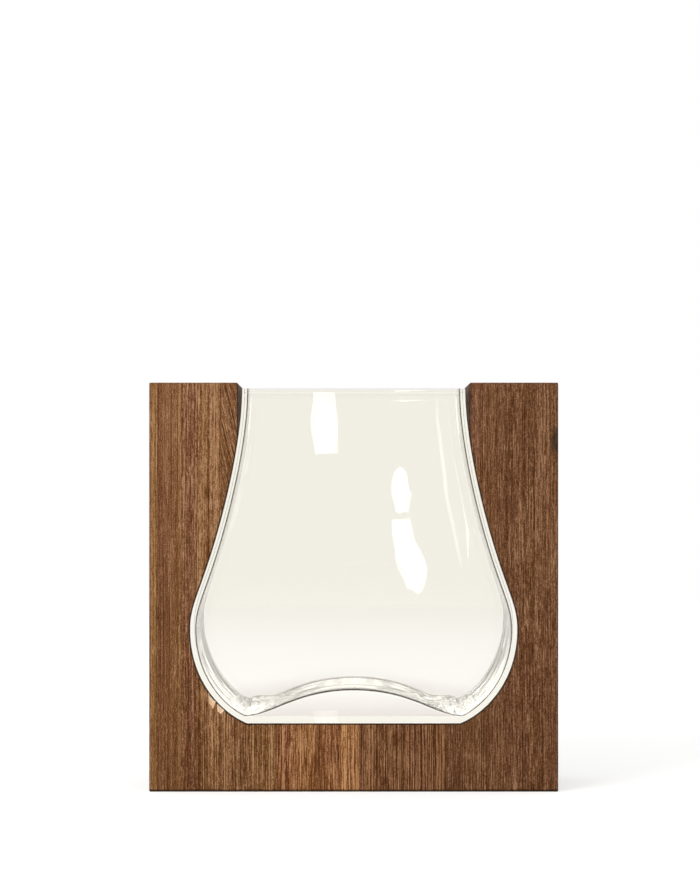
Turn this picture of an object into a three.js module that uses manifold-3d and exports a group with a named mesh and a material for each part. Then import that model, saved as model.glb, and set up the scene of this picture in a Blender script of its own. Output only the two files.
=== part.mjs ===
import * as THREE from 'three';
import { mergeVertices } from 'three/addons/utils/BufferGeometryUtils.js';
import Module from 'manifold-3d';

// Framed glass vase: a flat-faced clear vase that stands in a cut through a block of glued hardwood staves.
// Millimetres, +Z up, front face towards -Y, origin on the ground under the middle of the block.

// Size of the wooden block
const BLOCK_WIDTH = 254;
const BLOCK_HEIGHT = 254;
const BLOCK_DEPTH = 76;
const EASED_EDGE = 0.8;

// Wood left beside the cut at its mouth, waist, belly and foot, and under its floor
const MOUTH_WOOD = 55;
const WAIST_WOOD = 39.5;
const BELLY_WOOD = 25;
const FOOT_WOOD = 60.5;
const BASE_WOOD = 42;

// Widths of the staves, counted inwards from each side; one more joint lies right of the middle
const LEFT_OUTER_STAVE = 20;
const LEFT_BELLY_STAVE = 25;
const LEFT_NECK_STAVE = 34;
const RIGHT_NECK_STAVE = 32.5;
const RIGHT_OUTER_STAVE = 37;
const MIDDLE_JOINT = 4;

// Room between the glass and the wood
const SEAT_GAP = 0.3;
const NECK_GAP = 2.7;
const RIM_DROP = 3.5;
const FACE_RECESS = 2;

// Flank of the glass: heights of its belly and waist, its slopes, and how far each curve pulls
const BELLY_RISE = 58.5;
const WAIST_RISE = 110;
const FOOT_SLOPE_DEGREES = 22;
const WAIST_LEAN_DEGREES = 17;
const FOOT_PULL = 16.5;
const BELLY_PULL_DOWN = 33;
const BELLY_PULL_UP = 14.5;
const WAIST_PULL_DOWN = 31.5;
const WAIST_PULL_UP = 17;
const RIM_PULL_DOWN = 35;

// Walls of the glass, and its solid floor, which swells from both edges to a crown in the middle
const SIDE_WALL = 3;
const FACE_WALL = 3;
const FLOOR_EDGE = 4.2;
const FLOOR_CROWN = 20;
const FLOOR_EDGE_PULL = 18;
const CROWN_PULL = 36;
const OUTER_ROUND = 1.2;
const INNER_ROUND = 2.5;

// Steps along each curve, and how far a cutting solid stands past what it cuts
const FLANK_STEPS = [16, 12, 14];
const FLOOR_STEPS = 14;
const ROUND_STEPS = 3;
const EASED_STEPS = 1;
const CUT_PAST = 10;

const WOOD = { roughness: 0.62, metalness: 0 };
const GLASS = { color: '#f2f0e6', roughness: 0.03, metalness: 0, transparent: true, opacity: 0.35 };

const blockSide = BLOCK_WIDTH / 2;
const mouthSide = blockSide - MOUTH_WOOD;
const glassBase = BASE_WOOD + SEAT_GAP;
const glassRim = BLOCK_HEIGHT - RIM_DROP;
const glassDepth = BLOCK_DEPTH - 2 * FACE_RECESS;

const wasm = await Module();
wasm.setup();

// Geometries to closed solids, and back again
function toSolid(geometry) {
  geometry.deleteAttribute('normal');
  geometry.deleteAttribute('uv');
  const merged = mergeVertices(geometry, 1e-4);
  const mesh = new wasm.Mesh({
    numProp: 3,
    vertProperties: new Float32Array(merged.attributes.position.array),
    triVerts: new Uint32Array(merged.index.array),
  });
  return new wasm.Manifold(mesh);
}

function toMesh(name, solid, finish) {
  const { vertProperties, numProp, triVerts } = solid.getMesh();
  const geometry = new THREE.BufferGeometry();
  geometry.setAttribute('position', new THREE.BufferAttribute(vertProperties, numProp));
  geometry.setIndex(new THREE.BufferAttribute(triVerts, 1));
  geometry.computeVertexNormals();
  const mesh = new THREE.Mesh(geometry, new THREE.MeshStandardMaterial(finish));
  mesh.name = name;
  return mesh;
}

// An outline in X and Z made into a slab of the given depth, centred on Y, with rounded front and back edges
function slab(outline, depth, round, steps) {
  const geometry = new THREE.ExtrudeGeometry(new THREE.Shape(outline), {
    depth: depth - 2 * round,
    bevelEnabled: true,
    bevelThickness: round,
    bevelSize: round,
    bevelOffset: -round,
    bevelSegments: steps,
  });
  const upright = new THREE.Matrix4().set(1, 0, 0, 0, 0, 0, -1, 0, 0, 1, 0, 0, 0, 0, 0, 1);
  geometry.applyMatrix4(upright);
  geometry.translate(0, depth / 2 - round, 0);
  return toSolid(geometry);
}

// Right-hand flank of the vase in three curves: foot to belly, belly to waist, waist to rim
function flankCurves() {
  const foot = new THREE.Vector2(blockSide - FOOT_WOOD - SEAT_GAP, glassBase);
  const belly = new THREE.Vector2(blockSide - BELLY_WOOD - SEAT_GAP, glassBase + BELLY_RISE);
  const waist = new THREE.Vector2(blockSide - WAIST_WOOD - SEAT_GAP, glassBase + WAIST_RISE);
  const rim = new THREE.Vector2(mouthSide - NECK_GAP, glassRim);
  const upright = 90;
  const leaning = upright + WAIST_LEAN_DEGREES;
  const fromFoot = pulled(foot, FOOT_SLOPE_DEGREES, FOOT_PULL);
  const underBelly = pulled(belly, upright, -BELLY_PULL_DOWN);
  const overBelly = pulled(belly, upright, BELLY_PULL_UP);
  const underWaist = pulled(waist, leaning, -WAIST_PULL_DOWN);
  const overWaist = pulled(waist, leaning, WAIST_PULL_UP);
  const underRim = pulled(rim, upright, -RIM_PULL_DOWN);
  return [
    new THREE.CubicBezierCurve(foot, fromFoot, underBelly, belly),
    new THREE.CubicBezierCurve(belly, overBelly, underWaist, waist),
    new THREE.CubicBezierCurve(waist, overWaist, underRim, rim),
  ];
}

function pulled(point, degrees, length) {
  const angle = THREE.MathUtils.degToRad(degrees);
  return new THREE.Vector2(point.x + length * Math.cos(angle), point.y + length * Math.sin(angle));
}

// Points up the flank, moved square to it towards the inside, between an exact bottom and top height
function flank(inset, bottom, top, narrowest = 0) {
  const points = flankCurves().flatMap((curve, piece) => {
    const steps = FLANK_STEPS[piece];
    return Array.from({ length: steps }, (_, i) => moved(curve, (i + 1) / steps, inset));
  });
  const kept = points.filter((p) => p.y > bottom && p.y < top);
  const [first, second] = kept;
  const run = (second.x - first.x) / (second.y - first.y);
  const start = new THREE.Vector2(first.x - run * (first.y - bottom), bottom);
  const end = new THREE.Vector2(kept.at(-1).x, top);
  const aboveBelly = glassBase + BELLY_RISE;
  return [start, ...kept, end].map(({ x, y }) => (
    new THREE.Vector2(y > aboveBelly ? Math.max(x, narrowest) : x, y)
  ));
}

function moved(curve, t, inset) {
  const point = curve.getPoint(t);
  const along = curve.getTangent(t);
  return new THREE.Vector2(point.x - inset * along.y, point.y + inset * along.x);
}

// Right-hand points followed by their mirror images in the opposite order
function mirrored(points) {
  const left = points.map((p) => new THREE.Vector2(-p.x, p.y)).reverse();
  return [...points, ...left];
}

// Clear vase: flat front and back, walls of even thickness, open at the rim, thick floor with a crown
function glassVase() {
  const outside = mirrored(flank(0, glassBase, glassRim));
  const body = slab(outside, glassDepth, OUTER_ROUND, ROUND_STEPS);
  const hollow = slab(hollowOutline(), glassDepth - 2 * FACE_WALL, INNER_ROUND, ROUND_STEPS);
  return body.subtract(hollow);
}

function hollowOutline() {
  const edgeHeight = glassBase + FLOOR_EDGE;
  const side = flank(SIDE_WALL, edgeHeight, glassRim + CUT_PAST);
  const edge = side[0];
  const crown = new THREE.Vector2(0, glassBase + FLOOR_CROWN);
  const swell = new THREE.CubicBezierCurve(
    edge,
    new THREE.Vector2(edge.x - FLOOR_EDGE_PULL, edgeHeight),
    new THREE.Vector2(CROWN_PULL, crown.y),
    crown,
  );
  const floor = swell.getPoints(FLOOR_STEPS).slice(1, -1).reverse();
  const floorLeft = floor.map((p) => new THREE.Vector2(-p.x, p.y)).reverse();
  return [...mirrored(side), ...floorLeft, crown, ...floor];
}

// Wooden block: its cut follows the glass all round, and is straight where the glass draws in at the neck
function blockOutline() {
  const corner = (x, y) => new THREE.Vector2(x, y);
  const cut = flank(-SEAT_GAP, BASE_WOOD, BLOCK_HEIGHT - EASED_EDGE, mouthSide);
  const right = [
    corner(blockSide - EASED_EDGE, 0),
    corner(blockSide, EASED_EDGE),
    corner(blockSide, BLOCK_HEIGHT - EASED_EDGE),
    corner(blockSide - EASED_EDGE, BLOCK_HEIGHT),
    corner(mouthSide + EASED_EDGE, BLOCK_HEIGHT),
    ...cut.reverse(),
  ];
  return mirrored(right);
}

// Staves from left to right, each with its colour; where the cut parts one in two, the lower piece is first
const STAVES = [
  [['left_outer_stave', '#825b3c']],
  [['left_belly_stave', '#7c5539']],
  [['left_foot_block', '#7f5638'], ['left_neck_wedge', '#85603f']],
  [['left_base_block', '#86593a']],
  [['right_base_block', '#714f35']],
  [['right_foot_block', '#68472f'], ['right_neck_wedge', '#704d34']],
  [['right_outer_stave', '#6c4b33']],
];

function glueLines() {
  const afterOuter = -blockSide + LEFT_OUTER_STAVE;
  const afterBelly = afterOuter + LEFT_BELLY_STAVE;
  const afterNeck = afterBelly + LEFT_NECK_STAVE;
  const beforeOuter = blockSide - RIGHT_OUTER_STAVE;
  const beforeNeck = beforeOuter - RIGHT_NECK_STAVE;
  return [afterOuter, afterBelly, afterNeck, MIDDLE_JOINT, beforeNeck, beforeOuter];
}

function staves() {
  const block = slab(blockOutline(), BLOCK_DEPTH, EASED_EDGE, EASED_STEPS);
  const lines = [-blockSide - CUT_PAST, ...glueLines(), blockSide + CUT_PAST];
  return STAVES.flatMap((pieces, i) => {
    const width = lines[i + 1] - lines[i];
    const band = new THREE.BoxGeometry(width, BLOCK_DEPTH + CUT_PAST, BLOCK_HEIGHT + CUT_PAST);
    band.translate(lines[i] + width / 2, 0, BLOCK_HEIGHT / 2);
    const solids = block.intersect(toSolid(band)).decompose();
    solids.sort((a, b) => a.boundingBox().min[2] - b.boundingBox().min[2]);
    return pieces.map(([name, color], k) => toMesh(name, solids[k], { ...WOOD, color }));
  });
}

const framedVase = new THREE.Group();
framedVase.add(...staves());
framedVase.add(toMesh('glass_vase', glassVase(), GLASS));

export default framedVase;
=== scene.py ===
import math

import bpy
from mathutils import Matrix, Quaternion, Vector, noise
from mathutils.geometry import interpolate_bezier


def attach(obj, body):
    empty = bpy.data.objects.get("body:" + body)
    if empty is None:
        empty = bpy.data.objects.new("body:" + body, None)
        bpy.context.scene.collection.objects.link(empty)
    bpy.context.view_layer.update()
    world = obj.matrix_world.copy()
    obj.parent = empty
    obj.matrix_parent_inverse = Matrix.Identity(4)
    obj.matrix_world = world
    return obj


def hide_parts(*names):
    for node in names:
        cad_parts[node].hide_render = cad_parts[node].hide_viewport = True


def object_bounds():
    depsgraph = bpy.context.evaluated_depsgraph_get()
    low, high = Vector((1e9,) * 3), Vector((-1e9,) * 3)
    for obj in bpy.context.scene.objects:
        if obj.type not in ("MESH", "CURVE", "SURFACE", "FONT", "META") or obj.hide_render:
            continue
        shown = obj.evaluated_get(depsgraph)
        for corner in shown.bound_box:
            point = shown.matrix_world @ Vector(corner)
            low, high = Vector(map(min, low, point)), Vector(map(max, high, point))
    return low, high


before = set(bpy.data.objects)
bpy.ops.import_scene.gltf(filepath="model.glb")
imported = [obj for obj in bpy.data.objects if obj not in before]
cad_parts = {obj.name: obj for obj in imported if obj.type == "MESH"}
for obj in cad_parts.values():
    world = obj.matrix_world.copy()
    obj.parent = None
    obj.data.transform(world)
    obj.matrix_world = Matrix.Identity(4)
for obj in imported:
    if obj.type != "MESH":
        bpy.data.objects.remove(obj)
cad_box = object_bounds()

# Camera: level, square to the front of the block and a little below its top, a long lens from
# just over a metre away. The lens is raised a little, so that the block stands low in the picture.
LENS_MM = 85
SENSOR_MM = 36
CAMERA_LEFT = 0.0023
CAMERA_HEIGHT = 0.183
CAMERA_DISTANCE = 1.3025
LENS_RISE = 0.059

block_side, block_back, block_top = cad_box[1]
block_front = cad_box[0].y
camera_data = bpy.data.cameras.new("studio_camera")
camera_data.lens = LENS_MM
camera_data.sensor_width = SENSOR_MM
camera_data.shift_y = LENS_RISE
camera = bpy.data.objects.new("studio_camera", camera_data)
camera.location = (-CAMERA_LEFT, block_front - CAMERA_DISTANCE, CAMERA_HEIGHT)
camera.rotation_euler = (math.radians(90), 0, 0)
bpy.context.scene.collection.objects.link(camera)
bpy.context.scene.camera = camera
bpy.context.scene.view_settings.view_transform = "Standard"


# Studio: a pale floor and a far backdrop, which a lens sees as white, directly, in a mirror or
# through glass, under soft even daylight with one large softbox from the upper left.
FLOOR_SIZE = 8.0
FLOOR_COLOUR = (0.6, 0.6, 0.59, 1)
SEEN_FLOOR_LIFT = (0.58, 0.58, 0.58, 1)
FLOOR_THROUGH_FAR = (0.52, 0.5, 0.43, 1)
FLOOR_THROUGH_MIDWAY = (0.57, 0.55, 0.505, 1)
# Through glass the floor near the block glows dimmer and warmer: painted shade and painted warm bounce
# light from the block.
FLOOR_THROUGH_NEAR = (0.33, 0.28, 0.23, 1)
FLOOR_NEAR = 0.45
FLOOR_MIDWAY = 0.75
BACKDROP_DISTANCE = 2.2
BACKDROP_HEIGHT = 5.0
BACKDROP_TOP = (0.37, 0.43)
BACKDROP_TOP_LIFT = 0.85
BACKDROP_SIDE = (0.3, 0.6)
BACKDROP_SIDE_LIFT = 0.15
NO_LIGHT = (0, 0, 0, 1)
SEEN_WHITE = (1.0, 1.0, 1.0, 1)
THROUGH_GLASS = (0.99, 0.963, 0.875, 1)
SIDEWAYS = (0.3, 0.8)
SIDE_DIMNESS = 0.1
DAYLIGHT = 0.7
GLOSSY_SKY = (0.02, 0.3)
GLOSSY_HORIZON = 0.45
GLOSSY_DAYLIGHT = 0.2
SOFTBOX_PLACE = (-1.7, -1.9, 1.7)
SOFTBOX_SIZE = 1.2
SOFTBOX_WATTS = 36


def node(tree, kind, sockets=(), **properties):
    made = tree.nodes.new(kind)
    for name, value in properties.items():
        setattr(made, name, value)
    for key, value in dict(sockets).items():
        if isinstance(value, bpy.types.NodeSocket):
            tree.links.new(value, made.inputs[key])
        else:
            made.inputs[key].default_value = value
    return made


def maths(tree, operation, *values):
    return node(tree, "ShaderNodeMath", enumerate(values), operation=operation).outputs[0]


def mixed(tree, share, low, high):
    sockets = {"Factor": share, 6: low, 7: high}
    return node(tree, "ShaderNodeMix", sockets, data_type="RGBA").outputs[2]


def ranged(tree, value, span, levels, kind="SMOOTHSTEP"):
    """Goes from the first level to the second while the value crosses the span."""
    sockets = {0: value, 1: span[0], 2: span[1], 3: levels[0], 4: levels[1]}
    return node(tree, "ShaderNodeMapRange", sockets, interpolation_type=kind).outputs[0]


def between(tree, value, low, high):
    """0 below low and 1 above high."""
    return ranged(tree, value, (low, high), (0.0, 1.0))


def empty_tree(owner):
    owner.use_nodes = True
    owner.node_tree.nodes.clear()
    return owner.node_tree


def seen_by_lens(tree, path):
    """1 for what a lens sees directly, in a mirror or through glass, and 0 for the light on things."""
    seen = maths(tree, "MAXIMUM", path["Is Camera Ray"], path["Is Glossy Ray"])
    return maths(tree, "MAXIMUM", seen, path["Is Transmission Ray"])


def flat_sheet(name, corners, material):
    mesh = bpy.data.meshes.new(name)
    mesh.from_pydata(corners, [], [range(len(corners))])
    mesh.materials.append(material)
    sheet = bpy.data.objects.new(name, mesh)
    bpy.context.scene.collection.objects.link(sheet)


def floor_material():
    """Matt, and lifted to white for the lens; through glass it reaches the backdrop's tone far away, and
    near the block it glows dimmer and warmer, a painted shade and painted warm bounce from the block.
    """
    material = bpy.data.materials.new("pale_floor")
    tree = empty_tree(material)
    path = node(tree, "ShaderNodeLightPath").outputs
    place = node(tree, "ShaderNodeTexCoord").outputs["Object"]
    away = node(tree, "ShaderNodeVectorMath", {0: place}, operation="LENGTH").outputs["Value"]
    far = between(tree, away, FLOOR_MIDWAY, BACKDROP_DISTANCE)
    through = mixed(tree, far, FLOOR_THROUGH_MIDWAY, FLOOR_THROUGH_FAR)
    through = mixed(tree, between(tree, away, FLOOR_MIDWAY, FLOOR_NEAR), through, FLOOR_THROUGH_NEAR)
    mirrored = mixed(tree, far, SEEN_FLOOR_LIFT, NO_LIGHT)
    lift = mixed(tree, path["Is Glossy Ray"], SEEN_FLOOR_LIFT, mirrored)
    lift = mixed(tree, path["Is Transmission Ray"], lift, through)
    matt = node(tree, "ShaderNodeBsdfDiffuse", {"Color": FLOOR_COLOUR})
    glow = node(tree, "ShaderNodeEmission", {"Color": lift, "Strength": seen_by_lens(tree, path)})
    both = node(tree, "ShaderNodeAddShader", {0: matt.outputs[0], 1: glow.outputs[0]})
    node(tree, "ShaderNodeOutputMaterial", {"Surface": both.outputs[0]})
    return material


def backdrop_material():
    """White for the lens, and brighter through glass high up and far aside, so that its edges shine."""
    material = bpy.data.materials.new("white_backdrop")
    tree = empty_tree(material)
    path = node(tree, "ShaderNodeLightPath").outputs
    colour = mixed(tree, path["Is Transmission Ray"], SEEN_WHITE, THROUGH_GLASS)
    level = maths(tree, "MULTIPLY_ADD", seen_by_lens(tree, path), 1 - DAYLIGHT, DAYLIGHT)
    spot = node(tree, "ShaderNodeTexCoord").outputs["Object"]
    spot = node(tree, "ShaderNodeSeparateXYZ", {0: spot}).outputs
    aside = between(tree, maths(tree, "ABSOLUTE", spot[0]), *BACKDROP_SIDE)
    aside = maths(tree, "MULTIPLY", aside, BACKDROP_SIDE_LIFT)
    above = maths(tree, "MULTIPLY", between(tree, spot[2], *BACKDROP_TOP), BACKDROP_TOP_LIFT)
    outside = maths(tree, "MAXIMUM", aside, above)
    level = maths(tree, "MULTIPLY_ADD", outside, path["Is Transmission Ray"], level)
    glow = node(tree, "ShaderNodeEmission", {"Color": colour, "Strength": level})
    node(tree, "ShaderNodeOutputMaterial", {"Surface": glow.outputs[0]})
    return material


def daylight_world():
    """White towards the front and back, and dimmer overhead and to the sides for light through glass."""
    world = bpy.data.worlds.new("soft_daylight")
    tree = empty_tree(world)
    path = node(tree, "ShaderNodeLightPath").outputs
    heading = node(tree, "ShaderNodeTexCoord").outputs["Generated"]
    heading = node(tree, "ShaderNodeSeparateXYZ", {0: heading}).outputs
    ahead = ranged(tree, maths(tree, "ABSOLUTE", heading[1]), SIDEWAYS, (SIDE_DIMNESS, 1.0))
    through = maths(tree, "MULTIPLY", path["Is Transmission Ray"], ahead)
    seen = maths(tree, "MAXIMUM", path["Is Camera Ray"], through)
    colour = mixed(tree, path["Is Transmission Ray"], SEEN_WHITE, THROUGH_GLASS)
    mirrored = ranged(tree, heading[2], GLOSSY_SKY, (GLOSSY_HORIZON, GLOSSY_DAYLIGHT), "LINEAR")
    mirrored = maths(tree, "SUBTRACT", mirrored, DAYLIGHT)
    unseen = maths(tree, "MULTIPLY_ADD", path["Is Glossy Ray"], mirrored, DAYLIGHT)
    sideways = maths(tree, "SUBTRACT", 1.0, path["Is Transmission Ray"])
    level = maths(tree, "MAXIMUM", seen, maths(tree, "MULTIPLY", unseen, sideways))
    glow = node(tree, "ShaderNodeBackground", {"Color": colour, "Strength": level})
    node(tree, "ShaderNodeOutputWorld", {"Surface": glow.outputs[0]})
    return world


def area_light(name, place, aim, width, height, watts, lean=0.0, shape="RECTANGLE"):
    data = bpy.data.lights.new(name, "AREA")
    data.shape = shape
    data.size = width
    data.size_y = height
    data.energy = watts
    light = bpy.data.objects.new(name, data)
    light.location = place
    facing = (Vector(aim) - Vector(place)).to_track_quat("-Z", "Y")
    light.rotation_euler = (facing @ Quaternion((0, 0, 1), lean)).to_euler()
    bpy.context.scene.collection.objects.link(light)


half, back, high = FLOOR_SIZE / 2, BACKDROP_DISTANCE, BACKDROP_HEIGHT
floor_corners = [(-half, -half, 0), (half, -half, 0), (half, half, 0), (-half, half, 0)]
flat_sheet("studio_floor", floor_corners, floor_material())
backdrop_corners = [(-half, back, 0), (half, back, 0), (half, back, high), (-half, back, high)]
flat_sheet("studio_backdrop", backdrop_corners, backdrop_material())
bpy.context.scene.world = daylight_world()
block_middle = (0, 0, block_top / 2)
area_light("left_softbox", SOFTBOX_PLACE, block_middle, SOFTBOX_SIZE, SOFTBOX_SIZE, SOFTBOX_WATTS)

# Small lamps stand beside the camera, so that the flat face of the glass mirrors them. Each has
# its place to the right and its height, its width and height, and how far it leans.
LAMP_DISTANCE = 2.4
LAMP_WATTS = 7.6
LAMP_AIM = (0, block_front, 0.18)
for name, shape, x, z, width, height, lean in (
    ("upper_left_lamp", "RECTANGLE", -0.047, 0.329, 0.042, 0.138, 0.055),
    ("middle_lamp", "ELLIPSE", 0.0885, 0.198, 0.024, 0.082, -0.05),
    ("middle_foot", "RECTANGLE", 0.0915, 0.178, 0.026, 0.036, 0.0),
    ("lower_lamp", "RECTANGLE", 0.0935, 0.107, 0.034, 0.078, 0.07),
    ("lower_ball", "ELLIPSE", 0.104, 0.065, 0.046, 0.105, 0.16),
    ("right_strip", "ELLIPSE", 0.21, 0.215, 0.012, 0.29, 0.0),
):
    watts = LAMP_WATTS * width * height
    area_light(name, (x, -LAMP_DISTANCE, z), LAMP_AIM, width, height, watts, lean, shape)


# Staves: nine pieces of open-grained tropical hardwood, glued edge to edge into a block and
# oiled. The outline of the vase was sawn through the block afterwards, and all edges eased.
MM = 0.001
LEFT_OUTER_STAVE = 20 * MM
LEFT_BELLY_STAVE = 25 * MM
LEFT_NECK_STAVE = 34 * MM
RIGHT_NECK_STAVE = 32.5 * MM
RIGHT_OUTER_STAVE = 37 * MM
MIDDLE_JOINT = 4 * MM
MOUTH_WOOD = 55 * MM
WAIST_WOOD = 39.5 * MM
BELLY_WOOD = 25 * MM
FOOT_WOOD = 60.5 * MM
BASE_WOOD = 42 * MM
SEAT_GAP = 0.3 * MM
NECK_GAP = 2.7 * MM
RIM_DROP = 3.5 * MM
BELLY_RISE = 58.5 * MM
WAIST_RISE = 110 * MM
FOOT_SLOPE = math.radians(22)
WAIST_LEAN = math.radians(17)
FOOT_PULL = 16.5 * MM
BELLY_PULL_DOWN = 33 * MM
BELLY_PULL_UP = 14.5 * MM
WAIST_PULL_DOWN = 31.5 * MM
WAIST_PULL_UP = 17 * MM
RIM_PULL_DOWN = 35 * MM
FLANK_STEPS = 40
EASED_EDGE = 0.9 * MM
CUT_EDGE = 0.6 * MM
EDGE_UNEVENNESS = 0.35
EDGE_WAVES_PER_METRE = (120, 400)
GLUE_LINE = 0.05 * MM
EDGE_STEP = 3 * MM
EASING_STEPS = 4
CORNER_STEPS = 4
SLIGHT_TURN = 0.12
SAME_PLACE = 0.001 * MM
TORN_STRETCH = (Vector((-90.2, 60.75)) * MM, Vector((-80.8, 50.7)) * MM)
TORN_CHIPS = ((-0.03, 0.49, 6.6), (0.59, 1.02, 4.2))
TORN_START = 0.1
TORN_TAPER = 0.27
TORN_STOP = 0.3
TORN_RAGGEDNESS = 0.25
TORN_FIBRES_PER_METRE = 900
TORN_SLOPE = 0.4
TORN_STEP = 0.3 * MM
TORN_TURNS = (0.1, 1.0)
TORN_MARGIN = 0.1
mouth_side = block_side - MOUTH_WOOD
glass_base = BASE_WOOD + SEAT_GAP
glass_rim = block_top - RIM_DROP
above_belly = glass_base + BELLY_RISE


def flank_curves():
    """Right-hand flank of the vase: foot to belly, belly to waist, waist to rim."""
    upright = Vector((0, 1))
    sloping = Vector((math.cos(FOOT_SLOPE), math.sin(FOOT_SLOPE)))
    leaning = Vector((-math.sin(WAIST_LEAN), math.cos(WAIST_LEAN)))
    foot = Vector((block_side - FOOT_WOOD - SEAT_GAP, glass_base))
    belly = Vector((block_side - BELLY_WOOD - SEAT_GAP, above_belly))
    waist = Vector((block_side - WAIST_WOOD - SEAT_GAP, glass_base + WAIST_RISE))
    rim = Vector((mouth_side - NECK_GAP, glass_rim))
    return [
        (foot, foot + FOOT_PULL * sloping, belly - BELLY_PULL_DOWN * upright, belly),
        (belly, belly + BELLY_PULL_UP * upright, waist - WAIST_PULL_DOWN * leaning, waist),
        (waist, waist + WAIST_PULL_UP * leaning, rim - RIM_PULL_DOWN * upright, rim),
    ]


def flank(inset, bottom, top, narrowest=0.0):
    """Points up the flank, moved square to it towards the inside."""
    line = []
    for curve in flank_curves():
        line += interpolate_bezier(*curve, FLANK_STEPS)[1 if line else 0:]
    moved = []
    for i, point in enumerate(line):
        along = (line[min(i + 1, len(line) - 1)] - line[max(i - 1, 0)]).normalized()
        moved.append(Vector((point.x - inset * along.y, point.y + inset * along.x)))
    kept = [p for p in moved if bottom < p.y < top]
    run = (kept[1].x - kept[0].x) / (kept[1].y - kept[0].y)
    start = Vector((kept[0].x - run * (kept[0].y - bottom), bottom))
    line = [start, *kept, Vector((kept[-1].x, top))]
    return [Vector((max(p.x, narrowest) if p.y > above_belly else p.x, p.y)) for p in line]


def crossed(line, x):
    """The same line with a point added wherever it crosses the upright at x."""
    out = [line[0]]
    for before, after in zip(line, line[1:]):
        if (before.x - x) * (after.x - x) < 0:
            out.append(before.lerp(after, (x - before.x) / (after.x - before.x)))
        out.append(after)
    return out


def stave_outline(inner, outer, part):
    """Outline of one piece, counter-clockwise, on the right of the middle."""
    cut = flank(-SEAT_GAP, BASE_WOOD, block_top, mouth_side)
    foot = [Vector((inner, 0)), Vector((outer, 0))]
    if part == "whole":
        top = [Vector((outer, block_top)), Vector((inner, block_top))]
        bottom = BASE_WOOD + SAME_PLACE
        bite = [p for p in crossed(cut, inner) if p.x > inner - SAME_PLACE and p.y > bottom]
        return foot + top + (bite[::-1] if len(bite) > 2 else [])
    beside = [p for p in crossed(cut, outer) if p.x < outer + SAME_PLACE]
    if part == "wedge":
        side = [p for p in beside if p.y > above_belly]
        return [side[0], Vector((outer, block_top)), *side[:0:-1]]
    if part == "foot":
        side = [p for p in beside if p.y < above_belly]
        return foot + side[::-1] + [Vector((inner, BASE_WOOD))]
    return foot + [Vector((outer, BASE_WOOD)), Vector((inner, BASE_WOOD))]


def rounded_corners(outline, corners, radius):
    out = []
    for i, point in enumerate(outline):
        if not any((point - corner).length < SAME_PLACE for corner in corners):
            out.append(point)
            continue
        back_way = (outline[i - 1] - point).normalized() * radius
        on_way = (outline[(i + 1) % len(outline)] - point).normalized() * radius
        centre = point + back_way + on_way
        for k in range(CORNER_STEPS + 1):
            turn = math.pi / 2 * k / CORNER_STEPS
            out.append(centre - on_way * math.cos(turn) - back_way * math.sin(turn))
    return out


def along_tear(point):
    """How far along the torn stretch of the sawn edge a point lies, from 0 to 1, or None away from it."""
    start, end = TORN_STRETCH
    way = end - start
    share = (point - start).dot(way) / way.length_squared
    aside = (point - start - way * share).length
    return share if aside < MM and -TORN_MARGIN < share < 1 + TORN_MARGIN else None


def torn(point):
    """How far down the grain the fibres have split off below a point of the outline."""
    share = along_tear(point)
    for first, last, length in TORN_CHIPS if share is not None else ():
        across = (share - first) / (last - first)
        if 0 < across < 1:
            fibre = noise.noise(Vector((point.x * TORN_FIBRES_PER_METRE, 0, 0)))
            ragged = 1 + TORN_RAGGEDNESS * fibre
            shape = min(across / TORN_START, 1 - TORN_TAPER * across, (1 - across) / TORN_STOP)
            return length * MM * ragged * shape
    return 0.0


def finely_stepped(outline):
    out = []
    for a, b in zip(outline, outline[1:] + outline[:1]):
        step = EDGE_STEP if along_tear(a.lerp(b, 0.5)) is None else TORN_STEP
        pieces = max(1, math.ceil((b - a).length / step))
        out += [a.lerp(b, k / pieces) for k in range(pieces)]
    return out


def edge_moves(outline, glue_lines):
    """For each point, how it moves when the bare edges draw in by one unit and glued ones hardly."""
    def inward(a, b):
        way = (b - a).normalized()
        glued = any(abs(a.x - g) < SAME_PLACE and abs(b.x - g) < SAME_PLACE for g in glue_lines)
        return Vector((-way.y, way.x)), GLUE_LINE / EASED_EDGE if glued else 1.0

    moves = []
    for i, point in enumerate(outline):
        n1, a1 = inward(outline[i - 1], point)
        n2, a2 = inward(point, outline[(i + 1) % len(outline)])
        cross = n1.x * n2.y - n1.y * n2.x
        if abs(cross) < SLIGHT_TURN:
            moves.append((n1 + n2).normalized() * (a1 + a2) / 2)
        else:
            moves.append(Vector((a1 * n2.y - a2 * n1.y, a2 * n1.x - a1 * n2.x)) / cross)
    return moves


def in_cut(point):
    """Whether a point of the outline lies on the sawn cut, and not on the outside of the block."""
    return min(block_side - abs(point.x), point.y, block_top - point.y) > MM / 10


def easing(point):
    """Radius of the worn edge at a point of the outline, different on the faces and in the cut."""
    radius = CUT_EDGE if in_cut(point) else EASED_EDGE
    bump = sum(noise.noise(Vector((point.x, point.y, i)) * w) for i, w in enumerate(EDGE_WAVES_PER_METRE))
    return radius * (1 + EDGE_UNEVENNESS * bump)


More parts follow.
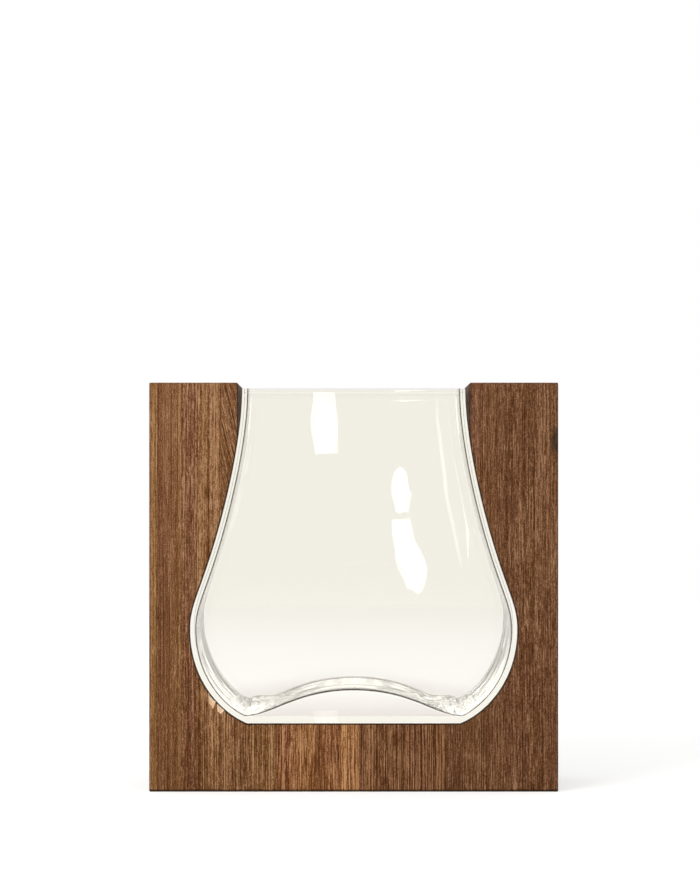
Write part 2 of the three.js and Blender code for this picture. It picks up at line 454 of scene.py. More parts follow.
def stave_mesh(name, outline, glue_lines):
    """Extrudes the outline through the block's depth, with its bare edges eased unevenly."""
    moves = edge_moves(outline, glue_lines)
    count = len(outline)
    radii = [easing(p) for p in outline]
    tears = [torn(p) for p in outline]
    quarter = [math.pi / 2 * k / EASING_STEPS for k in range(EASING_STEPS + 1)]
    verts, darkened_edge, torn_out, sawn = [], [], [], []
    for face, sign, row_tears in ((block_front, 1, tears), (block_back, -1, [0.0] * count)):
        for turn in quarter if sign > 0 else quarter[::-1]:
            in_tear = TORN_TURNS[0] < turn < TORN_TURNS[1]
            for p, move, radius, tear in zip(outline, moves, radii, row_tears):
                drawn = 1 - math.sin(turn)
                spot = p + move * radius * drawn - Vector((0, tear * drawn))
                depth = (radius + TORN_SLOPE * tear) * (1 - math.cos(turn))
                verts.append((spot.x, face + sign * depth, spot.y))
                darkened_edge.append(math.sin(turn))
                torn_out.append(min(1.0, tear / MM) if in_tear else 0.0)
                sawn.append(math.sin(turn) if in_cut(p) else 0.0)
    faces = [tuple(range(count))]
    row_count = len(verts) // count
    for row in range(row_count - 1):
        for i in range(count):
            j = (i + 1) % count
            faces.append((row * count + j, row * count + i, (row + 1) * count + i, (row + 1) * count + j))
    faces.append(tuple(reversed(range((row_count - 1) * count, row_count * count))))
    mesh = bpy.data.meshes.new(name)
    mesh.from_pydata(verts, [], faces)
    mesh.shade_smooth()
    for mark, values in (("eased", darkened_edge), ("torn", torn_out), ("sawn", sawn)):
        mesh.attributes.new(mark, "FLOAT", "POINT").data.foreach_set("value", values)
    return mesh


def srgb(red, green, blue):
    def linear(value):
        value /= 255
        return value / 12.92 if value <= 0.04045 else ((value + 0.055) / 1.055) ** 2.4

    return linear(red), linear(green), linear(blue), 1


def ramp(tree, share, stops):
    made = node(tree, "ShaderNodeValToRGB", {0: share})
    elements = made.color_ramp.elements
    while len(elements) < len(stops):
        elements.new(0.5)
    for element, (position, colour) in zip(elements, stops):
        element.position = position
        element.color = colour
    return made.outputs[0]


def added(tree, base, field, weight, middle=0.5):
    """Adds a field to the base, so that the field's middle changes nothing."""
    return maths(tree, "ADD", base, maths(tree, "MULTIPLY_ADD", field, weight, -weight * middle))


def drawn_out(tree, place, across, along, seed, detail=0.0):
    """Noise in the wood, with its size across the grain and along it in millimetres."""
    scaled = node(tree, "ShaderNodeVectorMath", {0: place, 1: (1 / across, 1 / across, 1 / along)},
                  operation="MULTIPLY").outputs[0]
    shifted = node(tree, "ShaderNodeVectorMath", {0: scaled, 1: (seed, seed * 0.7, seed * 1.3)},
                   operation="ADD").outputs[0]
    sockets = {"Vector": shifted, "Scale": 1.0, "Detail": detail, "Roughness": 0.6}
    return node(tree, "ShaderNodeTexNoise", sockets).outputs[0]


GOLDEN = [(0.0, srgb(79, 42, 9)), (0.25, srgb(104, 61, 23)), (0.5, srgb(131, 85, 43)),
          (0.75, srgb(162, 114, 70)), (1.0, srgb(200, 151, 102))]
RUSSET = [(0.0, srgb(79, 41, 13)), (0.25, srgb(104, 59, 28)), (0.5, srgb(130, 82, 48)),
          (0.75, srgb(160, 110, 74)), (1.0, srgb(198, 147, 106))]
# A dark brown that darkens the edges, and paints shade in the cut and along the foot.
DARK_SHADE_BROWN = srgb(38, 24, 13)
TORN_WOOD = srgb(255, 224, 194)
TORN_SHADE = srgb(238, 194, 146)
DARK_KNOT = srgb(50, 38, 28)
WOOD_ROUGHNESS = 0.6
WOOD_GLOSS = 0.12
RELIEF_STRENGTH = 0.3
RELIEF_DEPTH = 0.2 * MM

# Marks in the wood. Their places and widths are in millimetres, and vessels, threads and rings
# change its paleness, where 0 is the darkest tone and 1 the palest.
GRAIN_SWAY = 4.0
GRAIN_RIPPLE = 0.9
RING_WIDTH = 3.6
RING_WANDER = 2.4
RING_SHARPNESS = 2.5
RINGS_ON_FACE = (-0.09, 0.28)
RINGS_ON_END = (-0.26, 0.3)
STRIPE_SWAY = 0.3
OPEN_VESSEL = -0.2
PALE_VESSEL = 0.3
PALE_THREAD = 0.3
END_PALENESS = 0.36
END_VESSEL = -0.16
KNOT_DEPTH = 13.0
KNOT_STRENGTH = 0.7
EDGE_DARKENING = 0.22
# Painted shade on the cut walls: a little everywhere, and much more within a few millimetres of the
# faces, as a painted shadow of the gap between wood and glass.
GAP_SHADOW_DEPTH = (7.0, 2.0)
CUT_SHADE_INSIDE = 0.28
GAP_SHADOW_EXTRA = 0.6
# Painted shade along the foot of the wood, where its lowest edge faces down away from the light.
FOOT_SHADE_HEIGHT = (2.0, 1.0)
FOOT_SHADE_STRENGTH = 0.8


def wood_places(tree, seed, figure, lean):
    """Places in the wood in millimetres: plain ones, and ones that follow the sway of the grain."""
    spot = node(tree, "ShaderNodeTexCoord").outputs["Object"]
    plain = node(tree, "ShaderNodeVectorMath", {0: spot, "Scale": 1 / MM}, operation="SCALE").outputs[0]
    x, y, z = node(tree, "ShaderNodeSeparateXYZ", {0: plain}).outputs
    across = added(tree, x, drawn_out(tree, plain, 50, 150, seed + 11), GRAIN_SWAY * figure)
    across = added(tree, across, drawn_out(tree, plain, 9, 40, seed + 17), GRAIN_RIPPLE * figure)
    across = maths(tree, "MULTIPLY_ADD", z, lean, across)
    place = node(tree, "ShaderNodeCombineXYZ", {0: across, 1: y, 2: z}).outputs[0]
    return plain, x, y, z, across, place


def late_wood(tree, plain, across, y, pith, seed):
    """Growth rings round the pith, each darkest just before it stops."""
    dx = maths(tree, "SUBTRACT", across, pith[0])
    dy = maths(tree, "SUBTRACT", y, pith[1])
    squares = maths(tree, "ADD", maths(tree, "MULTIPLY", dx, dx), maths(tree, "MULTIPLY", dy, dy))
    turns = maths(tree, "DIVIDE", maths(tree, "SQRT", squares), RING_WIDTH)
    turns = added(tree, turns, drawn_out(tree, plain, 28, 400, seed + 5), RING_WANDER)
    return maths(tree, "POWER", maths(tree, "FRACT", turns), RING_SHARPNESS)


def long_grain(tree, place, z, late, seed, rise, bands, lines, dashes):
    """Paleness along the grain, from broad bands over coloured lines and dashes down to fibres."""
    level = maths(tree, "MULTIPLY_ADD", z, rise * MM / block_top, 0.5 - rise / 2)
    level = added(tree, level, late, *RINGS_ON_FACE)
    for across, along, number, detail, weight in (
        (6, 320, 0, 0, 0.24 * bands),
        (1.5, 220, 1, 0, 0.2 * bands),
        (0.36, 110, 2, 0, 1.25 * lines),
        (0.38, 14, 3, 0, 0.95 * dashes),
        (9, 30, 4, 1, 0.18 * bands),
        (0.45, 3, 9, 0, 0.6),
        (0.6, 0.8, 6, 0, 0.75),
    ):
        level = added(tree, level, drawn_out(tree, place, across, along, seed + number, detail), weight)
    return level


def with_stripes(tree, level, hue, across, x, stripes):
    """Broad streaks that sway less than the grain, each paler or darker, and redder or more golden."""
    straighter = maths(tree, "MULTIPLY_ADD", maths(tree, "SUBTRACT", across, x), STRIPE_SWAY, x)
    for centre, width, lift, redness in stripes:
        offset = maths(tree, "DIVIDE", maths(tree, "SUBTRACT", straighter, centre), width)
        power = maths(tree, "POWER", maths(tree, "ABSOLUTE", offset), 4)
        hump = maths(tree, "EXPONENT", maths(tree, "MULTIPLY", power, -1))
        level = maths(tree, "MULTIPLY_ADD", hump, lift, level)
        hue = maths(tree, "MULTIPLY_ADD", hump, redness, hue)
    return level, hue


def with_vessels(tree, level, place, pores, open_pore, seed, threads):
    """Vessels sawn lengthwise: some open and dark, some pale, and some long pale threads."""
    crowd = between(tree, drawn_out(tree, place, 11, 40, seed + 12), 0.38, 0.62)
    pale_pore = maths(tree, "MULTIPLY", between(tree, pores, 0.63, 0.7), crowd)
    level = maths(tree, "MULTIPLY_ADD", open_pore, OPEN_VESSEL, level)
    level = maths(tree, "MULTIPLY_ADD", pale_pore, PALE_VESSEL, level)
    winding = maths(tree, "SUBTRACT", drawn_out(tree, place, 1.5, 45, seed + 20), 0.5)
    thread = between(tree, maths(tree, "ABSOLUTE", winding), 0.035, 0.005)
    thread = maths(tree, "MULTIPLY", thread, crowd)
    return maths(tree, "MULTIPLY_ADD", thread, PALE_THREAD * threads, level)


def with_end_grain(tree, level, plain, late, seed):
    """Where the wood is sawn across, its rings show as arcs and its vessels as dots."""
    normal = node(tree, "ShaderNodeTexCoord").outputs["Normal"]
    upward = node(tree, "ShaderNodeSeparateXYZ", {0: normal}).outputs[2]
    on_end = between(tree, maths(tree, "ABSOLUTE", upward), 0.75, 0.97)
    dots = between(tree, drawn_out(tree, plain, 0.5, 3, seed + 16, 1.0), 0.42, 0.3)
    end_level = added(tree, END_PALENESS, late, *RINGS_ON_END)
    end_level = added(tree, end_level, drawn_out(tree, plain, 3, 3, seed + 18, 3.0), 0.4)
    end_level = maths(tree, "MULTIPLY_ADD", dots, END_VESSEL, end_level)
    change = maths(tree, "MULTIPLY", on_end, maths(tree, "SUBTRACT", end_level, level))
    return maths(tree, "ADD", level, change)


def with_knot(tree, colour, plain, x, y, z, seed, knot):
    """A dark knot at the front, with its place across and up, and its half width and height."""
    centre, height, half_width, half_height = knot
    away = node(tree, "ShaderNodeCombineXYZ", {
        0: maths(tree, "DIVIDE", maths(tree, "SUBTRACT", x, centre), half_width),
        1: maths(tree, "DIVIDE", maths(tree, "ADD", y, block_back / MM), KNOT_DEPTH),
        2: maths(tree, "DIVIDE", maths(tree, "SUBTRACT", z, height), half_height),
    }).outputs[0]
    far = node(tree, "ShaderNodeVectorMath", {0: away}, operation="LENGTH").outputs["Value"]
    far = added(tree, far, drawn_out(tree, plain, 3, 5, seed + 13, 2.0), 1.2)
    inside = maths(tree, "MULTIPLY", between(tree, far, 1.1, 0.5), KNOT_STRENGTH)
    return mixed(tree, inside, colour, DARK_KNOT)


def with_edges_shade_and_tears(tree, colour, plain, place, y, z, seed):
    """Darker edges, painted shade on the cut walls that is darkest next to the faces as a painted shadow
    of the gap to the glass, painted shade along the foot, and pale freshly torn fibres.
    """
    def mark(name):
        return node(tree, "ShaderNodeAttribute", attribute_name=name).outputs["Fac"]

    # The rounded edges and the faces beyond them are made darker.
    darkened_edge = maths(tree, "MULTIPLY", between(tree, mark("eased"), 0.0, 0.6), EDGE_DARKENING)
    colour = mixed(tree, darkened_edge, colour, DARK_SHADE_BROWN)

    # Painted shade in the cut, darkest next to the faces, where the gap to the glass lies in shadow.
    inwards = maths(tree, "SUBTRACT", block_back / MM, maths(tree, "ABSOLUTE", y))
    near_face = between(tree, inwards, *GAP_SHADOW_DEPTH)
    cut_shade = maths(tree, "MULTIPLY_ADD", near_face, GAP_SHADOW_EXTRA, CUT_SHADE_INSIDE)
    cut_shade = maths(tree, "MULTIPLY", between(tree, mark("sawn"), 0.1, 0.5), cut_shade)
    colour = mixed(tree, cut_shade, colour, DARK_SHADE_BROWN)

    # Painted shade along the foot, where the lowest edge faces down away from the light.
    foot_shade = added(tree, z, drawn_out(tree, plain, 4, 6, seed + 19, 2.0), 1.2)
    foot_shade = maths(tree, "MULTIPLY", between(tree, foot_shade, *FOOT_SHADE_HEIGHT), FOOT_SHADE_STRENGTH)
    colour = mixed(tree, foot_shade, colour, DARK_SHADE_BROWN)

    tear = mark("torn")
    slivers = between(tree, added(tree, tear, drawn_out(tree, place, 1.0, 9, seed + 14), 1.1), 0.1, 0.25)
    slivers = maths(tree, "MULTIPLY", slivers, between(tree, tear, 0.01, 0.1))
    fibres = between(tree, drawn_out(tree, plain, 0.7, 6, seed + 21), 0.4, 0.6)
    return mixed(tree, slivers, colour, mixed(tree, fibres, TORN_SHADE, TORN_WOOD))


def stave_wood(name, seed, tone, rise=0.0, bands=1.0, lines=1.0, dashes=1.0, threads=1.0, figure=1.0,
               lean=0.0, pith=(0, 60), stripes=(), knots=()):
    """Oiled open-grained hardwood, whose grain goes through the stave from face to face."""
    material = bpy.data.materials.new(name)
    tree = empty_tree(material)
    plain, x, y, z, across, place = wood_places(tree, seed, figure, lean)
    late = late_wood(tree, plain, across, y, pith, seed)
    pores = drawn_out(tree, place, 0.5, 7, seed + 7)
    open_pore = between(tree, pores, 0.36, 0.28)

    level = long_grain(tree, place, z, late, seed, rise, bands, lines, dashes)
    hue = added(tree, 0.5, drawn_out(tree, place, 5, 150, seed + 8, 1.0), 1.2)
    level, hue = with_stripes(tree, level, hue, across, x, stripes)
    level = with_vessels(tree, level, place, pores, open_pore, seed, threads)
    level = with_end_grain(tree, level, plain, late, seed)

    colour = mixed(tree, hue, ramp(tree, level, GOLDEN), ramp(tree, level, RUSSET))
    colour = node(tree, "ShaderNodeVectorMath", {0: colour, 1: tone}, operation="MULTIPLY").outputs[0]
    for knot in knots:
        colour = with_knot(tree, colour, plain, x, y, z, seed, knot)
    colour = with_edges_shade_and_tears(tree, colour, plain, place, y, z, seed)

    fibres = drawn_out(tree, place, 0.6, 9, seed + 15, 2.0)
    height = maths(tree, "MULTIPLY_ADD", open_pore, -1.0, fibres)
    relief = {"Strength": RELIEF_STRENGTH, "Distance": RELIEF_DEPTH, "Height": height}
    surface = node(tree, "ShaderNodeBsdfPrincipled", {
        "Base Color": colour, "Roughness": added(tree, WOOD_ROUGHNESS, pores, 0.2),
        "Normal": node(tree, "ShaderNodeBump", relief).outputs[0], "Specular IOR Level": WOOD_GLOSS,
    })
    node(tree, "ShaderNodeOutputMaterial", {"Surface": surface.outputs[0]})
    return material


# Each stave lies between two distances from the middle, on the left or the right. Its wood has a
# tone, the strengths of its marks, and in millimetres its pith, its stripes, as place and half
# width before their paleness and redness, and its knots, as place, height, half width and height.
left_outer_joint = block_side - LEFT_OUTER_STAVE
left_belly_joint = left_outer_joint - LEFT_BELLY_STAVE
left_neck_joint = left_belly_joint - LEFT_NECK_STAVE
right_outer_joint = block_side - RIGHT_OUTER_STAVE
right_neck_joint = right_outer_joint - RIGHT_NECK_STAVE
STAVES = {
    "left_outer_stave": dict(
        span=(left_outer_joint, block_side), side=-1, part="whole", slot="light_wood",
        seed=3, tone=(0.88, 0.91, 0.97), rise=0.12, lines=0.85, dashes=0.6, bands=0.8, figure=0.25,
        pith=(-190, 60),
        stripes=((-124.5, 2.6, 0.13, -0.7), (-120, 1.4, -0.03, 0.6), (-115, 3, 0.0, 0.2),
                 (-108, 1.0, 0.2, -0.5)),
    ),
    "left_belly_stave": dict(
        span=(left_belly_joint, left_outer_joint), side=-1, part="whole", slot="light_wood",
        seed=21, tone=(0.89, 0.92, 1.02), rise=0.16, dashes=0.8, bands=0.8, figure=0.5,
        pith=(-160, 40), stripes=((-102, 4, -0.05, 0.7), (-94, 3, 0.08, -0.6), (-86, 3.8, 0.2, -0.2)),
    ),
    "left_foot_block": dict(
        span=(left_neck_joint, left_belly_joint), side=-1, part="foot", slot="light_wood",
        seed=35, tone=(0.88, 0.91, 1.0), bands=0.7, figure=0.6,
        pith=(-120, 30), stripes=((-80.5, 1.5, 0.12, 0.0), (-57, 8, 0.12, -0.6)),
    ),
    "left_neck_wedge": dict(
        span=(mouth_side, left_belly_joint), side=-1, part="wedge", slot="light_wood",
        seed=35, tone=(0.85, 0.88, 0.98), lines=0.7, dashes=0.7, bands=0.4, lean=0.25,
        pith=(-120, 30),
    ),
    "left_base_block": dict(
        span=(-MIDDLE_JOINT, left_neck_joint), side=-1, part="base", slot="light_wood",
        seed=52, tone=(1.1, 1.07, 1.07), lines=1.2, dashes=1.5, figure=0.8,
        pith=(-70, 50),
        stripes=((-5.8, 2.1, 0.42, -0.4), (0.5, 3.0, 0.16, -0.3), (-9.5, 1.2, -0.12, 0.3),
                 (-30, 5, 0.08, -0.3), (-42, 4, -0.03, 0.4)),
    ),
    "right_base_block": dict(
        span=(MIDDLE_JOINT, right_neck_joint), side=1, part="base", slot="dark_wood",
        seed=64, tone=(0.77, 0.75, 0.78), lines=2.0, dashes=1.4, figure=0.6,
        pith=(-40, 60),
        stripes=((5.5, 1.5, -0.16, 0.5), (9.5, 2, 0.1, 0.0), (13.8, 1.4, -0.2, 0.1),
                 (40, 6, -0.1, 0.3), (50, 2, 0.08, -0.2)),
    ),
    "right_foot_block": dict(
        span=(right_neck_joint, right_outer_joint), side=1, part="foot", slot="dark_wood",
        seed=77, tone=(0.71, 0.74, 0.86), lines=0.9, bands=0.7, figure=0.6,
        pith=(10, 40), stripes=((77.5, 1.2, 0.12, 0.0),),
    ),
    "right_neck_wedge": dict(
        span=(mouth_side, right_outer_joint), side=1, part="wedge", slot="dark_wood",
        seed=77, tone=(0.76, 0.77, 0.9), lines=0.8, bands=0.6,
        pith=(10, 40), stripes=((76, 3, 0.1, 0.8),),
    ),
    "right_outer_stave": dict(
        span=(right_outer_joint, block_side), side=1, part="whole", slot="dark_wood",
        seed=91, tone=(0.69, 0.7, 0.81), rise=0.09, lines=0.65, dashes=0.8, threads=2.0, bands=0.7,
        figure=0.6, pith=(112, 70), knots=((125, 218, 4.2, 9),),
    ),
}


def make_stave(name, span, side, part, slot, **wood):
    corners = [(block_side, 0), (block_side, block_top), (mouth_side, block_top)]
    outline = rounded_corners(stave_outline(*span, part), [Vector(c) for c in corners], EASED_EDGE)
    glue_lines = [line for line in span if line < block_side - MM and abs(line - mouth_side) > MM]
    if side < 0:
        outline = [Vector((-p.x, p.y)) for p in reversed(outline)]
        glue_lines = [-line for line in glue_lines]
    mesh = stave_mesh(name + "_look", finely_stepped(outline), glue_lines)
    mesh.materials.append(stave_wood(name + "_wood", **wood))
    stave = bpy.data.objects.new(name + "_look", mesh)
    bpy.context.scene.collection.objects.link(stave)
    stave.modifiers.new("flat_faces", "WEIGHTED_NORMAL").keep_sharp = True
    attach(stave, "block")
    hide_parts(name)


for stave_name, stave_sizes in STAVES.items():
    make_stave(stave_name, **stave_sizes)


# Vase: clear soda-lime glass, blown into a flat-sided mould, so its outside is flat and crisp and
# its inside softly rounded and a little wavy. The floor is solid and swells to a crown.
FACE_RECESS = 2 * MM
SIDE_WALL = 3 * MM
FACE_WALL = 3 * MM
FLOOR_EDGE = 4.2 * MM
FLOOR_CROWN = 20 * MM
FLOOR_EDGE_PULL = 18 * MM
CROWN_PULL = 36 * MM
OUTER_ROUND = 0.4 * MM
OUTER_BACK_ROUND = 0.2 * MM
INNER_FRONT_ROUND = 1.25 * MM
INNER_BACK_ROUND = 0.6 * MM
CROWN_FRONT_ROUND = 2.7 * MM
CROWN_SPREAD = (66 * MM, 42 * MM)
RIM_CROWN = 0.35 * MM
PILLOW_RISE = 0.5 * MM
PILLOW_WIDTH = 25 * MM
FACE_WAVES = ((0.06 * MM, 18, 13), (0.011 * MM, 65, 50))
SIDE_BEGINS = (50 * MM, 64 * MM)
NECK_DRAFT = -0.8 * MM
FOOT_DRAFT = 2.8 * MM
DRAFT_CHANGE = (135 * MM, 60 * MM)
FLOOR_DRAFT = 2.0 * MM
FOOT_CORNER = (62 * MM, 48 * MM)
CORNER_FILL = 3.0 * MM
CORNER_FILL_REACH = 16 * MM
WRINKLES = ((1.6, 380, 25), (0.9, 900, 60))
WRINKLE = 0.8 * MM
WRINKLE_REACH = (26 * MM, 8 * MM)
SHOULDER = (42 * MM, 8 * MM)
SHOULDER_SIZE = (11 * MM, 16 * MM)
SHOULDER_DIMPLE = 0.8 * MM
FLOW_LINES = ((1.0, 190, 8), (0.5, 420, 16))
FLOW_LINE = 0.2 * MM
FLOW_FADE = (150 * MM, 90 * MM)
FLOW_AT_RIM = 0.25
RIM_CALM = 12 * MM
FACE_CALM = 1 / 12
FLOOR_STEPS = 110
SIDE_STEPS = 180
ROUND_STEPS = 6
DEPTH_STEPS = 66
RIM_STEPS = 6
FADE_STEPS = 8
CORNER_REACH = 6
SIDE_CROWDING = 0.75
FLOOR_CROWDING = 0.65
GLASS_IOR = 1.5
GLASS_COLOUR = (0.956, 0.953, 0.947, 1)
GLASS_DEPTH_COLOUR = (0.86, 0.79, 0.72, 1)
GLASS_DEPTH_DENSITY = 1.0
LIGHT_BOUNCES = 48


def stretched_sheet(low, high, left, right):
    """A grid of points stretched between four edges; its rows run from low to high."""
    rows = []
    last_u, last_v = len(low) - 1, len(left) - 1
    for v_index in range(last_v + 1):
        v = v_index / last_v
        row = []
        for u_index in range(last_u + 1):
            u = u_index / last_u
            along = low[u_index].lerp(high[u_index], v) + left[v_index].lerp(right[v_index], u)
            corner = low[0].lerp(low[-1], u).lerp(high[0].lerp(high[-1], u), v)
            row.append(along - corner)
        rows.append(row)
    return rows


def spaced(line, count, crowding=0.0):
    """The same line with the given number of points, crowded towards its start."""
    line = line[:1] + [b for a, b in zip(line, line[1:]) if (b - a).length > SAME_PLACE / 10]
    lengths = [0.0]
    for a, b in zip(line, line[1:]):
        lengths.append(lengths[-1] + (b - a).length)
    out, i = [], 0
    for k in range(count):
        share = k / (count - 1)
        target = lengths[-1] * share * (1 - crowding * (1 - share))
        while i < len(lengths) - 2 and lengths[i + 1] < target:
            i += 1
        share = (target - lengths[i]) / (lengths[i + 1] - lengths[i])
        out.append(line[i].lerp(line[i + 1], min(1, max(0, share))))
    return out


def draw_in(line):
    """Unit moves towards the inside of an open outline, turning gently round its corners."""
    ways = []
    for a, b in zip(line, line[1:]):
        way = (b - a).normalized()
        ways.append(Vector((-way.y, way.x)))
    moves = []
    for i in range(len(line)):
        near = ways[max(0, i - CORNER_REACH):i + CORNER_REACH] or ways[:1]
        moves.append(sum(near, Vector((0, 0))).normalized())
    moves[0] = Vector((1 if line[0].x < 0 else -1, 0))
    moves[-1] = Vector((1 if line[-1].x < 0 else -1, 0))
    return moves


def depth_rows(front_round, back_round, half_depth):
    """From front to back: how far the skin is rounded off, its depth, and the share of the way back."""
    quarter = [math.pi / 2 * k / ROUND_STEPS for k in range(ROUND_STEPS + 1)]

    def rounded(radius, turn):
        return radius * (1 - math.sin(turn)), radius * (1 - math.cos(turn)) - half_depth

    straight = 2 * half_depth - front_round - back_round
    rows = [(*rounded(front_round, turn), 0.0) for turn in quarter]
    for k in range(1, DEPTH_STEPS):
        share = k / DEPTH_STEPS
        rows.append((0.0, -half_depth + front_round + straight * share, share))
    for turn in quarter[::-1]:
        inset, depth = rounded(back_round, turn)
        rows.append((inset, -depth, 1.0))
    return rows


def pillow(edge_way):
    """How far the front stands proud of its edge at a distance from it."""
    flat = min(1, edge_way / PILLOW_WIDTH)
    return PILLOW_RISE * (1 - (1 - flat) ** 2)


def face_wave(x, z, turned):
    """How far a flat face lies out of true; both skins of a wall share it."""
    plane = 5 if turned else 0
    return sum(size * noise.noise(Vector((x * across, z * up, plane + 3 * i)))
               for i, (size, across, up) in enumerate(FACE_WAVES))


def flat_face(verts, quad, first, n_side, n_floor, y, margin, turned):
    """Fills the front of a skin, or its back if turned, inside its edge; returns its row at the rim."""
    left_ids = [first + i for i in range(n_side)][::-1]
    floor_ids = [first + n_side - 1 + i for i in range(n_floor)]
    right_ids = [first + n_side + n_floor - 2 + i for i in range(n_side)]
    edges = [[Vector((verts[i].x, verts[i].z)) for i in ids] for ids in (floor_ids, left_ids, right_ids)]
    low, left, right = edges
    last = n_floor - 1
    high = [left[-1].lerp(right[-1], k / last) for k in range(n_floor)]
    grid = []
    for v, points in enumerate(stretched_sheet(low, high, left, right)):
        ids = []
        for u, p in enumerate(points):
            if v == 0:
                ids.append(floor_ids[u])
            elif u == 0:
                ids.append(left_ids[v])
            elif u == last:
                ids.append(right_ids[v])
            else:
                fade = min(1, min(u, last - u) / FADE_STEPS) * min(1, v / FADE_STEPS)
                edge_way = max(0, min(abs(points[-1].x) - abs(p.x), p.y - low[u].y))
                swell = 0 if turned else pillow(edge_way + margin) - pillow(margin)
                out_of_true = face_wave(p.x, p.y, turned) * fade - swell
                verts.append(Vector((p.x, y + out_of_true, p.y)))
                ids.append(len(verts) - 1)
        grid.append(ids)
    for low_row, high_row in zip(grid, grid[1:]):
        for u in range(last):
            a, b, c, d = low_row[u], low_row[u + 1], high_row[u + 1], high_row[u]
            if turned:
                quad(b, a, d, c)
            else:
                quad(a, b, c, d)
    return grid[-1]


def skin(verts, faces, side, floor, half_depth, front_round, back_round, shift, margin, outwards):
    """Adds one skin of the vase, outside or inside; returns the ring of points at its rim."""
    line = [Vector((-p.x, p.y)) for p in reversed(side)] + floor[1:-1] + side
    moves = draw_in(line)
    start, count = len(verts), len(line)
    columns = [depth_rows(front_round(p), back_round, half_depth) for p in line]
    row_count = len(columns[0])
    for row in range(row_count):
        for p, move, column in zip(line, moves, columns):
            inset, y, share = column[row]
            spot = p + move * (inset + shift(p, y, share))
            verts.append(Vector((spot.x, y, spot.y)))

    def quad(a, b, c, d):
        faces.append((a, b, c, d) if outwards else (d, c, b, a))

    for row in range(row_count - 1):
        for i in range(count - 1):
            a = start + row * count + i
            quad(a, a + count, a + count + 1, a + 1)
    last = start + (row_count - 1) * count
    front_rim = flat_face(verts, quad, start, len(side), len(floor), -half_depth, margin, False)
    back_rim = flat_face(verts, quad, last, len(side), len(floor), half_depth, margin, True)
    left_edge = [start + row * count for row in range(row_count)]
    right_edge = [start + row * count + count - 1 for row in range(row_count)]
    return front_rim + right_edge[1:-1] + back_rim[::-1] + left_edge[1:-1][::-1]


def smooth(value, low, high):
    """0 at low and 1 at high, with a soft start and stop."""
    share = min(1, max(0, (value - low) / (high - low)))
    return share * share * (3 - 2 * share)


def outer_round(point):
    return OUTER_ROUND


def mould_shape(point, y, share):
    """The outside has taken the shape of the mould, so nothing shifts it."""
    return 0.0


def inner_front_round(point):
    """The edge at the front of the hollow is softest over the crown of the floor."""
    on_crown = smooth(abs(point.x), *CROWN_SPREAD)
    if point.y > glass_base + FLOOR_CROWN + MM:
        on_crown = 0
    return INNER_FRONT_ROUND + (CROWN_FRONT_ROUND - INNER_FRONT_ROUND) * on_crown


def flow_lines(point, y):
    """Faint lines that run up the sides; each set has a strength, and waves to the metre both ways."""
    return sum(strength * noise.noise(Vector((y * across, point.x * along, point.y * along)))
               for strength, across, along in FLOW_LINES)


def wrinkles(point, y):
    """Creases that run from front to back; each set has a strength, and waves to the metre both ways."""
    return sum(strength * noise.noise(Vector((point.x * across, point.y * across, y * along)))
               for strength, across, along in WRINKLES)


def inner_shift(point, y, share):
    """The hollow narrows towards the back; its sides have flow lines, and its foot corners wrinkles."""
    on_side = smooth(abs(point.x), *SIDE_BEGINS)
    side_draft = NECK_DRAFT + (FOOT_DRAFT - NECK_DRAFT) * smooth(point.y, *DRAFT_CHANGE)
    draft = FLOOR_DRAFT + (side_draft - FLOOR_DRAFT) * on_side
    corner = math.hypot(abs(point.x) - FOOT_CORNER[0], point.y - FOOT_CORNER[1])
    filled = CORNER_FILL * smooth(corner, CORNER_FILL_REACH, 0.0)

    low = FLOW_AT_RIM + (1 - FLOW_AT_RIM) * smooth(point.y, *FLOW_FADE)
    wrinkle = wrinkles(point, y)
    beside = (abs(point.x) - SHOULDER[0]) / SHOULDER_SIZE[0]
    behind = (y - SHOULDER[1]) / SHOULDER_SIZE[1]
    dimple = smooth(math.hypot(beside, behind), 1.0, 0.0) * (1 + wrinkle)
    ripple = FLOW_LINE * flow_lines(point, y) * low * on_side
    ripple += WRINKLE * wrinkle * smooth(corner, *WRINKLE_REACH) - SHOULDER_DIMPLE * dimple
    from_face = min(1, share / FACE_CALM, (1 - share) / FACE_CALM)
    from_rim = min(1, (glass_rim - point.y) / RIM_CALM)
    return (draft + filled) * share + ripple * from_face * from_rim


def rim_faces(verts, faces, outer_ring, inner_ring, rim):
    """Joins the two skins over the rim, which is fire-polished to a soft round."""
    rings = [outer_ring]
    for k in range(1, RIM_STEPS):
        share = k / RIM_STEPS
        lift = RIM_CROWN * math.sin(math.pi * share) ** 0.5
        for a, b in zip(outer_ring, inner_ring):
            spot = verts[a].lerp(verts[b], share)
            verts.append(Vector((spot.x, spot.y, rim + lift)))
        rings.append(range(len(verts) - len(outer_ring), len(verts)))
    rings.append(inner_ring)
    count = len(outer_ring)
    for low, high in zip(rings, rings[1:]):
        for i in range(count):
            j = (i + 1) % count
            faces.append((low[i], low[j], high[j], high[i]))


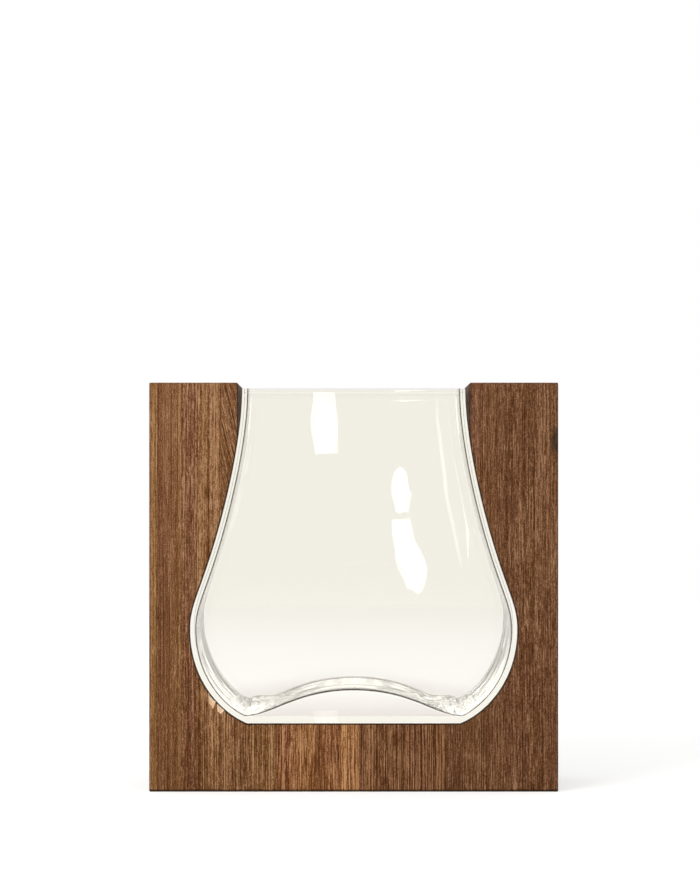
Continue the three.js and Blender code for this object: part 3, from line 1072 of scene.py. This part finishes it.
def glass_mesh():
    verts, faces = [], []
    half_depth = (block_back - block_front) / 2 - FACE_RECESS
    rim = glass_rim - RIM_CROWN
    outside = spaced(flank(0, glass_base, rim), SIDE_STEPS, SIDE_CROWDING)
    foot = outside[0]
    base = [Vector((-foot.x + 2 * foot.x * k / FLOOR_STEPS, glass_base)) for k in range(FLOOR_STEPS + 1)]
    outer_ring = skin(verts, faces, outside, base, half_depth, outer_round, OUTER_BACK_ROUND,
                      mould_shape, 0.0, True)
    inside = spaced(flank(SIDE_WALL, glass_base + FLOOR_EDGE, rim), SIDE_STEPS, SIDE_CROWDING)
    edge = inside[0]
    crown = Vector((0, glass_base + FLOOR_CROWN))
    swell = interpolate_bezier(
        edge, edge - Vector((FLOOR_EDGE_PULL, 0)), crown + Vector((CROWN_PULL, 0)), crown, FLOOR_STEPS)
    swell = spaced([p.to_2d() for p in swell], FLOOR_STEPS // 2 + 1, FLOOR_CROWDING)
    floor_line = [Vector((-p.x, p.y)) for p in swell] + swell[-2::-1]
    inner_ring = skin(verts, faces, inside, floor_line, half_depth - FACE_WALL, inner_front_round,
                      INNER_BACK_ROUND, inner_shift, SIDE_WALL, False)
    rim_faces(verts, faces, outer_ring, inner_ring, rim)
    mesh = bpy.data.meshes.new("vase_glass")
    mesh.from_pydata(verts, [], faces)
    mesh.shade_smooth()
    return mesh


def clear_glass():
    material = bpy.data.materials.new("clear_soda_glass")
    tree = empty_tree(material)
    surface = node(tree, "ShaderNodeBsdfPrincipled", {
        "Base Color": GLASS_COLOUR, "Roughness": 0.0, "IOR": GLASS_IOR, "Transmission Weight": 1.0,
    })
    depth = node(tree, "ShaderNodeVolumeAbsorption", {
        "Color": GLASS_DEPTH_COLOUR, "Density": GLASS_DEPTH_DENSITY,
    })
    node(tree, "ShaderNodeOutputMaterial", {"Surface": surface.outputs[0], "Volume": depth.outputs[0]})
    return material


vase = bpy.data.objects.new("vase_glass", glass_mesh())
bpy.context.scene.collection.objects.link(vase)
vase.modifiers.new("flat_faces", "WEIGHTED_NORMAL").keep_sharp = True
vase.data.materials.append(clear_glass())
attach(vase, "glass")
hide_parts("glass_vase")
bpy.context.scene.cycles.max_bounces = LIGHT_BOUNCES
bpy.context.scene.cycles.glossy_bounces = LIGHT_BOUNCES
bpy.context.scene.cycles.transmission_bounces = LIGHT_BOUNCES
